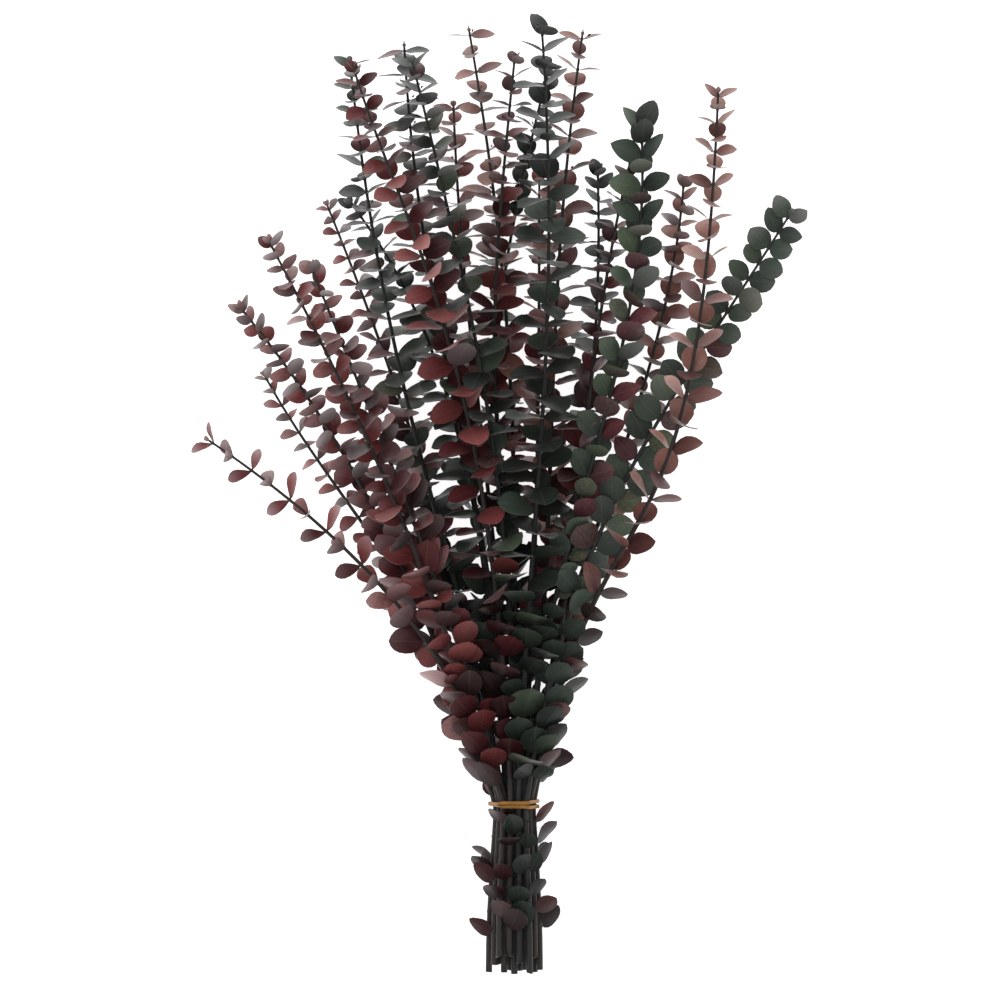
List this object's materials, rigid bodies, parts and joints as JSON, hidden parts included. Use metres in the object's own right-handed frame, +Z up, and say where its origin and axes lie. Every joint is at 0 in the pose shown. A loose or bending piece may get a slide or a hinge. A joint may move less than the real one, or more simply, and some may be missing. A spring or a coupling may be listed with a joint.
{
  "type": "bunch of dried eucalyptus",
  "caption": "Bunch of dried, dyed round-leaf eucalyptus lying down: leafy stems fan out from a rubber band wound twice near the cut ends. Decoration for a vase or a table.",
  "frame": {"origin": "on the surface the bunch lies on, under the middle of its box", "axes": "+Y along the bunch from the cut ends to the tips, +Z up out of the surface, +X to the right seen from above with the tips away from the viewer"},
  "size_m": [0.4175, 0.6527, 0.1286],
  "materials": {
    "leaf_wine": "matt preserved leaf and bark, dyed wine",
    "leaf_claret": "matt preserved leaf and bark, dyed claret",
    "leaf_green": "matt preserved leaf and bark, dyed green",
    "leaf_russet": "matt preserved leaf and bark, dyed russet",
    "rubber_band": "smooth natural rubber, amber"
  },
  "bodies": {
    "root": {"leafy_stem_01": "leaf_wine", "leafy_stem_02": "leaf_claret", "leafy_stem_03": "leaf_green", "leafy_stem_04": "leaf_green", "leafy_stem_05": "leaf_wine", "leafy_stem_06": "leaf_wine", "leafy_stem_07": "leaf_green", "leafy_stem_08": "leaf_green", "leafy_stem_09": "leaf_russet", "leafy_stem_10": "leaf_wine", "leafy_stem_11": "leaf_green", "leafy_stem_12": "leaf_green", "leafy_stem_13": "leaf_claret", "leafy_stem_14": "leaf_russet", "leafy_stem_15": "leaf_claret", "leafy_stem_16": "leaf_wine", "leafy_stem_17": "leaf_green", "leafy_stem_18": "leaf_russet", "leafy_stem_19": "leaf_wine", "leafy_stem_20": "leaf_green", "leafy_stem_21": "leaf_wine", "leafy_stem_22": "leaf_wine", "leafy_stem_23": "leaf_green", "leafy_stem_24": "leaf_russet", "rubber_band": "rubber_band"}
  },
  "joints": []
}
